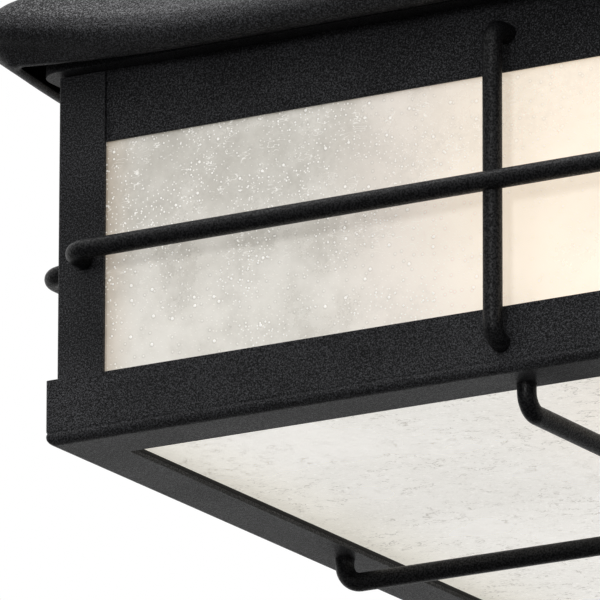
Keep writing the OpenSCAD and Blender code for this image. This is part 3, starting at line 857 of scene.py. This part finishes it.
class LANTERN_OT_cage(bpy.types.Operator):
    """Folds the posts, bands, sill, clips and hinge leaves of the cage"""
    bl_idname = "lantern.cage"
    bl_label = "Posts and bands"

    def execute(self, context):
        for corner in ("front_left", "front_right", "rear_left", "rear_right"):
            self.post("post_" + corner)
        for side in ("front", "rear", "left"):
            self.close_gap(self.band("top_band_" + side))
        self.close_gap(softened("top_band_right", 0.25 * MM))
        softened("sill_ring", 0.25 * MM)
        softened("side_glass_clips", 0.2 * MM)
        softened("bottom_glass_clips", 0.2 * MM)
        softened("bottom_gasket", 0.25 * MM)
        softened("hinge_cage_leaves", 0.2 * MM)
        return {"FINISHED"}

    @staticmethod
    def post(node):
        """An angle folded from sheet, its outer corner rounded."""
        lo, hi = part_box(node)
        centre = (lo + hi) / 2
        fold = 1.0 * MM
        sx, sy = math.copysign(1, centre.x), math.copysign(1, centre.y)
        fresh()
        bpy.ops.mesh.primitive_cube_add(size=1, location=centre, scale=hi - lo)
        obj = baked_place(bpy.context.object)
        edit("FACE")
        pick("faces", lambda f: abs(f.normal.z) > 0.5
             or f.normal.x * sx < -0.5 or f.normal.y * sy < -0.5)
        bpy.ops.mesh.delete(type="FACE")
        pick("edges", lambda e: abs(middle(e).x * sx - POST_FACE) < 1e-4
             and abs(middle(e).y * sy - POST_FACE) < 1e-4)
        bpy.ops.mesh.bevel(offset=fold, segments=4, affect="EDGES")
        bpy.ops.object.mode_set(mode="OBJECT")
        modify(obj, "SOLIDIFY", thickness=POST_FACE - BAND_FACE, offset=-1, use_even_offset=True)
        modify(obj, "BEVEL", width=0.22 * MM, segments=2, limit_method="ANGLE", angle_limit=math.radians(50))
        hand_over(obj, node + "_angle", "cage", "black_powder_coat", [node], 40)

    @staticmethod
    def band(node):
        """A flat band with eased edges."""
        lo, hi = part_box(node)
        fresh()
        bpy.ops.mesh.primitive_cube_add(size=1, location=(lo + hi) / 2, scale=hi - lo)
        obj = baked_place(bpy.context.object)
        modify(obj, "BEVEL", width=0.3 * MM, segments=3, limit_method="ANGLE", angle_limit=math.radians(50))
        return hand_over(obj, node + "_plate", "cage", "black_powder_coat", [node], 40)

    @staticmethod
    def close_gap(band):
        """Raises a band's top edge to the neck, so that no lamp light shows between them."""
        edge, rise = 0.35 * MM, 0.42 * MM
        top = max(v.co.z for v in band.data.vertices)
        for v in band.data.vertices:
            if v.co.z > top - edge:
                v.co.z += rise


class LANTERN_OT_bottom_frame(bpy.types.Operator):
    """Presses the bottom frame: wall, rounded lower edge and flange round the window"""
    bl_idname = "lantern.bottom_frame"
    bl_label = "Bottom frame"

    def execute(self, context):
        round_off = 2.1 * MM
        flange = 15.8 * MM
        corner = 0.9 * MM
        groove = 0.16 * MM
        sheet = low("bottom_gasket").z - BOTTOM
        inner = HALF - round_off
        window = HALF - flange
        fresh()
        bpy.ops.mesh.primitive_plane_add(size=2 * inner, location=(0, 0, BOTTOM))
        obj = baked_place(bpy.context.object)
        edit("FACE")
        bpy.ops.mesh.select_all(action="SELECT")
        bpy.ops.mesh.inset(thickness=inner - window)
        bpy.ops.mesh.delete(type="FACE")
        bpy.ops.mesh.select_mode(type="EDGE")
        pick("edges", lambda e: e.is_boundary
             and all(max(abs(v.co.x), abs(v.co.y)) > inner - 1e-5 for v in e.verts))
        rise = [(inner + round_off * math.sin(math.radians(a)),
                 BOTTOM + round_off * (1 - math.cos(math.radians(a)))) for a in (15, 30, 45, 60, 75, 90)]
        rise += [(HALF, BOTTOM + 2.5 * MM), (HALF - groove, BOTTOM + 2.85 * MM),
                 (HALF - groove, BOTTOM + 3.2 * MM), (HALF, BOTTOM + 3.6 * MM), (HALF, FRAME_TOP)]
        draw_rings([(inner, BOTTOM)] + rise)
        pick("edges", lambda e: abs(e.verts[0].co.z - e.verts[1].co.z) > 1e-6
             and all(abs(abs(v.co.x) - abs(v.co.y)) < 1e-5 and abs(v.co.x) > inner - 1e-5 for v in e.verts))
        bpy.ops.mesh.bevel(offset=corner, segments=4, affect="EDGES")
        bpy.ops.mesh.select_all(action="SELECT")
        bpy.ops.mesh.normals_make_consistent(inside=False)
        bpy.ops.object.mode_set(mode="OBJECT")
        modify(obj, "SOLIDIFY", thickness=sheet, offset=-1, use_even_offset=True)
        modify(obj, "BEVEL", width=0.18 * MM, segments=2, limit_method="ANGLE", angle_limit=math.radians(60))
        hand_over(obj, "pressed_frame", "cage", "black_powder_coat", ["bottom_frame"],
                  40)
        return {"FINISHED"}


class LANTERN_OT_panes(bpy.types.Operator):
    """Cuts the rippled glass panes of the four sides and the bottom"""
    bl_idname = "lantern.panes"
    bl_label = "Glass panes"

    def execute(self, context):
        ripple = bpy.data.textures.new("glass_ripple", "CLOUDS")
        ripple.noise_scale = 0.03
        for side in SIDES:
            self.pane("side_glass_" + side, ripple, context.scene.lantern_glass.ripple)
        self.pane("bottom_glass", ripple, context.scene.lantern_glass.ripple)
        return {"FINISHED"}

    @staticmethod
    def pane(node, texture, height):
        """A cast pane: both faces rippled, their edges eased."""
        lo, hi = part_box(node)
        size = hi - lo
        thin = min(range(3), key=lambda i: size[i])
        inset = 0.4 * MM
        fresh()
        bpy.ops.mesh.primitive_cube_add(size=1, location=(lo + hi) / 2, scale=size)
        obj = baked_place(bpy.context.object)
        edit("FACE")
        pick("faces", lambda f: abs(f.normal[thin]) > 0.5)
        bpy.ops.mesh.inset(thickness=inset, use_individual=True)
        bpy.ops.transform.resize(value=tuple(1 - 2 * inset / size[i] if i == thin else 1 for i in range(3)),
                                 center_override=(lo + hi) / 2)
        pick("faces", lambda f: abs(f.normal[thin]) > 0.99)
        bpy.ops.mesh.subdivide(number_cuts=30)
        bpy.ops.object.mode_set(mode="OBJECT")
        group = obj.vertex_groups.new(name="faces")
        edge = 2.5 * MM
        for v in obj.data.vertices:
            clear = min(min(v.co[i] - lo[i], hi[i] - v.co[i]) for i in range(3) if i != thin)
            group.add([v.index], min(1.0, max(0.0, clear / edge)), "REPLACE")
        modify(obj, "DISPLACE", texture=texture, strength=height * 2, mid_level=1.0,
               vertex_group="faces", texture_coords="LOCAL")
        obj.vertex_groups.clear()
        hand_over(obj, node + "_pane", "cage", node, [node], 40)


# lamps

class LANTERN_OT_lamps(bpy.types.Operator):
    """Blows the bulbs and rolls their threaded caps and the brass shells"""
    bl_idname = "lantern.lamps"
    bl_label = "Bulbs and shells"

    def execute(self, context):
        for place, flip in (("front", False), ("rear", True)):
            lo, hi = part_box("bulb_glass_" + place)
            axis_y, axis_z = (lo.y + hi.y) / 2, (lo.z + hi.z) / 2
            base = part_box("lamp_bracket_" + place)[1 if flip else 0].x
            turn = (0, -math.pi / 2, math.pi if flip else 0)
            at = (base, axis_y, axis_z)
            body = "bulb_" + place
            r = (hi.y - lo.y) / 2
            neck = 13 * MM
            start = 34 * MM
            straight, taper = 5 * MM, 22 * MM
            seam = math.radians(35)
            centre = start + straight + taper + r * math.sin(seam)
            profile = [(neck - 0.3 * MM, start), (neck, start + 0.4 * MM), (neck, start + straight)]
            for i in range(1, 12):
                t = i / 12
                wider = (r * math.cos(seam) - neck) * (1 - math.cos(math.pi * t)) / 2
                profile.append((neck + wider, start + straight + taper * t))
            for a in range(-35, 86, 6):
                profile.append((r * math.cos(math.radians(a)), centre + r * math.sin(math.radians(a))))
            profile.append((r * 0.03, centre + r * 0.9995))
            bulb = rings(profile, at, turn, 64)
            hand_over(bulb, "bulb_envelope_" + place, body, "frosted_glass", ["bulb_glass_" + place],
                      60)
            root, crest = 12.5 * MM, 13.05 * MM
            profile = [(4 * MM, 8 * MM), (4 * MM, 9.0 * MM), (7 * MM, 9.3 * MM), (11.6 * MM, 11.6 * MM)]
            z = 12.2
            while z < 30:
                profile += [(root, z * MM), (crest, (z + 0.9) * MM), (crest, (z + 1.5) * MM),
                            (root, (z + 2.4) * MM)]
                z += 3.6
            profile += [(12.7 * MM, 31 * MM), (crest, 31.6 * MM), (crest, start)]
            cap = rings(profile, at, turn)
            hand_over(cap, "bulb_screw_cap_" + place, body, "nickel_plate", ["bulb_cap_" + place],
                      40)
            softened("screw_shell_" + place, 0.2 * MM)
            softened("contact_" + place, 0.3 * MM)
        return {"FINISHED"}


class LANTERN_OT_thumbscrews(bpy.types.Operator):
    """Turns and knurls the two thumbscrews"""
    bl_idname = "lantern.thumbscrews"
    bl_label = "Thumbscrews"

    def execute(self, context):
        lo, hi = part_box("thumbscrew_front")
        axis_y, axis_z = (lo.y + hi.y) / 2, (lo.z + hi.z) / 2
        facets = 48
        length = hi.x - lo.x
        head = 6 * MM
        shank = 2.4 * MM

        def on_grip(face):
            """Every other facet round the grip."""
            y, z = middle(face).y - axis_y, middle(face).z - axis_z
            turn = round(math.atan2(y, z) / math.tau * facets - 0.5)
            return abs(face.normal.x) < 0.1 and math.hypot(y, z) > head - 0.2 * MM and turn % 2 == 0

        profile = [(1.9 * MM, 0), (shank, 0.5 * MM)]
        z = 0.5
        while z < length / MM - 9.5:
            profile += [(shank, (z + 0.3) * MM), (shank - 0.25 * MM, (z + 0.65) * MM),
                        (shank, (z + 1.0) * MM)]
            z += 1.0
        collar = length - 7.7 * MM
        grip = length - 6.2 * MM
        profile += [(shank, collar), (4.0 * MM, collar + 0.02 * MM), (4.25 * MM, collar + 0.3 * MM),
                    (4.25 * MM, grip - 0.05 * MM), (head - 0.5 * MM, grip), (head, grip + 0.5 * MM),
                    (head, length - 0.6 * MM), (head - 0.6 * MM, length),
                    (3.4 * MM, length), (3.0 * MM, length - 0.5 * MM)]
        screw = rings(profile, (lo.x, axis_y, axis_z), (0, math.pi / 2, 0), facets)
        baked_place(screw)
        edit("FACE")
        pick("faces", on_grip)
        bpy.ops.mesh.inset(thickness=0.12 * MM, depth=-0.3 * MM, use_individual=True)
        bpy.ops.object.mode_set(mode="OBJECT")
        hand_over(screw, "knurled_screw_front", "thumbscrew_front", "rod", ["thumbscrew_front"],
                  30)
        copied(screw, Matrix.Translation((0, -2 * axis_y, 0)), "knurled_screw_rear",
               "thumbscrew_rear", "thumbscrew_rear")
        return {"FINISHED"}


# stage

class LANTERN_OT_stage(bpy.types.Operator):
    """Sets the camera, the studio lights, the floor and the finishes"""
    bl_idname = "lantern.stage"
    bl_label = "Stage"

    def execute(self, context):
        scene = context.scene
        scene.view_settings.view_transform = "Standard"
        make_finishes(scene)
        self.camera(scene)
        self.world(scene)
        self.floor(scene.lantern_stage.floor)
        key = scene.lantern_stage.key
        rod_share = 0.21
        self.lamp("key_light", (-0.4, -0.5, 2.2), (0, 0, -0.03), 1.1, key)
        self.lamp("rod_light", (0.4, -1.9, -0.05), (0, 0, -0.07), 0.35, key * rod_share)
        return {"FINISHED"}

    @staticmethod
    def camera(scene):
        """The photograph's camera, worked out from the frame's edges."""
        yaw, pitch, roll = (math.radians(a) for a in (30.82, 16.38, 0.16))
        right = Vector((math.cos(yaw), math.sin(yaw), 0))
        level = Vector((-math.sin(yaw), math.cos(yaw), 0))
        ahead = level * math.cos(pitch) + Vector((0, 0, math.sin(pitch)))
        up = Vector((0, 0, math.cos(pitch))) - level * math.sin(pitch)
        across = right * math.cos(roll) + up * math.sin(roll)
        upright = up * math.cos(roll) - right * math.sin(roll)
        # the picture's middle, measured from the frame's front left corner
        corner = Vector((-HALF, -HALF, -0.126))
        target = corner + across * 0.06495 + upright * 0.036
        distance = 2.9562
        lens = 697.6
        data = bpy.data.cameras.new("camera")
        data.sensor_width = 36
        data.lens = lens
        data.clip_end = 100
        camera = bpy.data.objects.new("camera", data)
        scene.collection.objects.link(camera)
        camera.matrix_world = Matrix((
            (across.x, upright.x, -ahead.x, 0), (across.y, upright.y, -ahead.y, 0),
            (across.z, upright.z, -ahead.z, 0), (0, 0, 0, 1)))
        camera.location = target - ahead * distance
        scene.camera = camera

    @staticmethod
    def world(scene):
        """White to the camera and in glass; in gloss, white on the backdrop's side only."""
        scene.world = scene.world or bpy.data.worlds.new("studio")
        g = Graph(scene.world)
        direction = g.add("ShaderNodeTexCoord", out="Generated")
        height = g.along(direction, (0, 0, 1))
        depth = g.along(direction, BACKDROP)
        level = 0.18 + height.step(0.0, 0.8) * 0.8 + (0.0 - depth).step(-0.2, 0.7) * 0.18
        path = g.tree.nodes.new("ShaderNodeLightPath")
        seen = (Sock(g, path.outputs["Is Camera Ray"]) + Sock(g, path.outputs["Is Transmission Ray"])
                + Sock(g, path.outputs["Is Glossy Ray"]) * depth.step(-0.1, 0.45)).clamp()
        back = g.add("ShaderNodeBackground", {}, {
            "Color": (1, 1, 1, 1), "Strength": level * (1 - seen) + seen})
        g.add("ShaderNodeOutputWorld", {}, {"Surface": back})

    @staticmethod
    def floor(height):
        """A pale floor, clear from below, that throws light up on the backdrop's side alone."""
        fresh()
        bpy.ops.mesh.primitive_plane_add(size=14, location=(0, 0, height))
        floor = bpy.context.object
        floor.name = "studio_floor"
        g = graph("pale_floor")
        sweep = g.noise(g.place(), 0.8, 2.0)
        seen = g.add("ShaderNodeLightPath", out="Is Camera Ray")
        depth = g.along(g.place(), BACKDROP)
        thrown = g.tint(depth.step(0.5, 2.2), (0.07, 0.07, 0.07), (0.85, 0.85, 0.85))
        face = g.surface({
            "Base Color": g.tint(seen, thrown, g.tint(sweep, (0.8, 0.8, 0.8), (0.84, 0.84, 0.83))),
            "Roughness": 0.7})
        clear = g.add("ShaderNodeBsdfTransparent")
        under = g.add("ShaderNodeNewGeometry", out="Backfacing")
        mixed = g.add("ShaderNodeMixShader", {}, {0: under, 1: face, 2: clear})
        floor.data.materials.append(g.finish(mixed))

    @staticmethod
    def lamp(name, at, aim, size, power):
        """A round area light aimed at a point."""
        data = bpy.data.lights.new(name, "AREA")
        data.shape = "DISK"
        data.size = size
        data.energy = power
        light = bpy.data.objects.new(name, data)
        bpy.context.scene.collection.objects.link(light)
        light.location = at
        light.rotation_euler = (Vector(aim) - Vector(at)).to_track_quat("-Z", "Y").to_euler()


class LANTERN_PT_panel(bpy.types.Panel):
    """Lists the lantern's pieces and settings"""
    bl_idname = "LANTERN_PT_panel"
    bl_label = "Lantern"
    bl_space_type = "VIEW_3D"
    bl_region_type = "UI"
    bl_category = "Lantern"

    def draw(self, context):
        for operator in OPERATORS:
            self.layout.operator(operator.bl_idname)
        for name, kind in SETTINGS.items():
            box = self.layout.box()
            for key in kind.__annotations__:
                box.prop(getattr(context.scene, name), key)


OPERATORS = (LANTERN_OT_stage, LANTERN_OT_canopy, LANTERN_OT_ceiling_unit, LANTERN_OT_bars, LANTERN_OT_cage,
             LANTERN_OT_bottom_frame, LANTERN_OT_panes, LANTERN_OT_lamps, LANTERN_OT_thumbscrews)
SETTINGS = {"lantern_coat": CoatSettings, "lantern_bars": BarSettings, "lantern_glass": GlassSettings,
            "lantern_lamps": LampSettings, "lantern_stage": StageSettings}


def register():
    for kind in (*SETTINGS.values(), *OPERATORS, LANTERN_PT_panel):
        bpy.utils.register_class(kind)
    for name, kind in SETTINGS.items():
        setattr(bpy.types.Scene, name, PointerProperty(type=kind))


def unregister():
    for name in SETTINGS:
        delattr(bpy.types.Scene, name)
    for kind in reversed((*SETTINGS.values(), *OPERATORS, LANTERN_PT_panel)):
        bpy.utils.unregister_class(kind)


def main():
    register()
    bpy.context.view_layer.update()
    for operator in OPERATORS:
        call = bpy.ops
        for part in operator.bl_idname.split("."):
            call = getattr(call, part)
        call()


if __name__ == "__main__":
    main()
